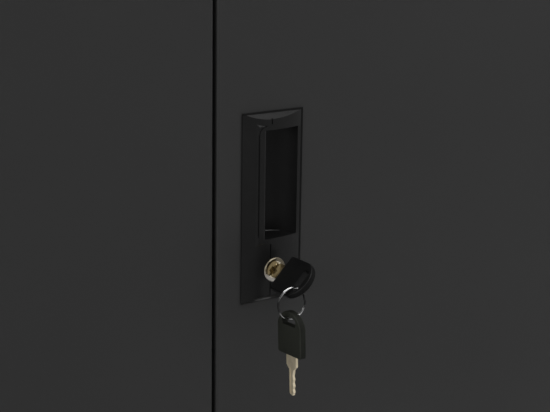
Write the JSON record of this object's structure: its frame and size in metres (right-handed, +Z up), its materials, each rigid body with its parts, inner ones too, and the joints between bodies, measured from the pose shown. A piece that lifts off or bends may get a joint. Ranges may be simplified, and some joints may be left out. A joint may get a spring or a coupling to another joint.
{
  "type": "office cabinet",
  "caption": "Steel office cabinet with hinged doors, a recessed black pull plate, a rod lock with its keys on a ring, and adjustable shelves inside.",
  "frame": {"origin": "middle of the cabinet's footprint, on the floor; the keys that stand out in front are not counted", "axes": "+Z up, -Y out of the doors, +X to the right as seen by someone facing the doors"},
  "size_m": [0.9, 0.4561, 1.4],
  "materials": {
    "cabinet_paint": "fine-textured anthracite powder coat",
    "zinc_plate": "zinc plated",
    "black_plastic": "satin",
    "nylon": "natural nylon",
    "buffer_rubber": "matt",
    "lock_nickel": "nickel plated",
    "key_brass": "nickel-washed brass"
  },
  "bodies": {
    "carcass": {"left_side_panel": "cabinet_paint", "right_side_panel": "cabinet_paint", "back_panel": "cabinet_paint", "back_panel_screws": "zinc_plate", "top_panel": "cabinet_paint", "bottom_panel": "cabinet_paint", "foot_glides": "black_plastic", "front_left_upright": "cabinet_paint", "front_right_upright": "cabinet_paint", "rear_left_upright": "cabinet_paint", "rear_right_upright": "cabinet_paint", "lower_shelf": "cabinet_paint", "lower_shelf_clips": "zinc_plate", "middle_shelf": "cabinet_paint", "middle_shelf_clips": "zinc_plate", "upper_shelf": "cabinet_paint", "upper_shelf_clips": "zinc_plate", "hinge_pins": "zinc_plate", "door_stops": "cabinet_paint", "door_buffers": "buffer_rubber"},
    "left_door": {"left_door_panel": "cabinet_paint", "left_door_stiffener": "cabinet_paint", "left_door_bushes": "nylon", "upper_bolt_housing": "black_plastic", "lower_bolt_housing": "black_plastic"},
    "right_door": {"right_door_panel": "cabinet_paint", "right_door_stiffener": "cabinet_paint", "right_door_bushes": "nylon", "pull_plate": "black_plastic", "pull_plate_screws": "zinc_plate", "lock_housing": "lock_nickel", "lock_nut": "zinc_plate", "upper_rod_guides": "black_plastic", "lower_rod_guides": "black_plastic"},
    "upper_bolt": {"upper_slide_bolt": "zinc_plate"},
    "lower_bolt": {"lower_slide_bolt": "zinc_plate"},
    "lock_core": {"lock_plug": "key_brass", "lock_cam": "zinc_plate", "cam_screw": "zinc_plate"},
    "upper_rod": {"upper_lock_rod": "zinc_plate"},
    "lower_rod": {"lower_lock_rod": "zinc_plate"},
    "key": {"key_blade": "key_brass", "key_bow": "black_plastic"},
    "ring": {"key_ring": "lock_nickel"},
    "spare_key": {"spare_key_blade": "key_brass", "spare_key_bow": "black_plastic"}
  },
  "joints": [
    {"name": "left_door_swing", "type": "hinge", "parent": "carcass", "child": "left_door", "pos_m": [-0.4135, -0.193, 0.718], "axis": [0, 0, -1], "range_deg": [0, 110]},
    {"name": "right_door_swing", "type": "hinge", "parent": "carcass", "child": "right_door", "pos_m": [0.4135, -0.193, 0.718], "axis": [0, 0, 1], "range_deg": [0, 110]},
    {"name": "lock_turn", "type": "hinge", "parent": "right_door", "child": "lock_core", "pos_m": [0.0466, -0.2, 0.6744], "axis": [0, 1, 0], "range_deg": [-45, 45]},
    {"name": "upper_rod_slide", "type": "slide", "parent": "right_door", "child": "upper_rod", "axis": [0, 0, 1], "range_m": [-0.0085, 0.0085]},
    {"name": "lower_rod_slide", "type": "slide", "parent": "right_door", "child": "lower_rod", "axis": [0, 0, 1], "range_m": [-0.0085, 0.0085]},
    {"name": "key_pull", "type": "slide", "parent": "lock_core", "child": "key", "axis": [0, -1, 0], "range_m": [0, 0.04]},
    {"name": "ring_turn", "type": "hinge", "parent": "key", "child": "ring", "pos_m": [0.03864, -0.239, 0.66644], "axis": [0, 1, 0], "range_deg": [-45, 45]},
    {"name": "spare_key_swing", "type": "hinge", "parent": "ring", "child": "spare_key", "pos_m": [0.03864, -0.239, 0.64894], "axis": [-1, 0, 0], "range_deg": [-18, 56]},
    {"name": "upper_bolt_slide", "type": "slide", "parent": "left_door", "child": "upper_bolt", "axis": [0, 0, 1], "range_m": [0, 0.01]},
    {"name": "lower_bolt_slide", "type": "slide", "parent": "left_door", "child": "lower_bolt", "axis": [0, 0, -1], "range_m": [0, 0.01]}
  ],
  "couplings": [
    {"joint": "lock_turn", "follows": "upper_rod_slide", "rad_per_m": -92.39},
    {"joint": "lower_rod_slide", "follows": "upper_rod_slide", "ratio": -1},
    {"joint": "ring_turn", "follows": "upper_rod_slide", "rad_per_m": 92.39}
  ]
}
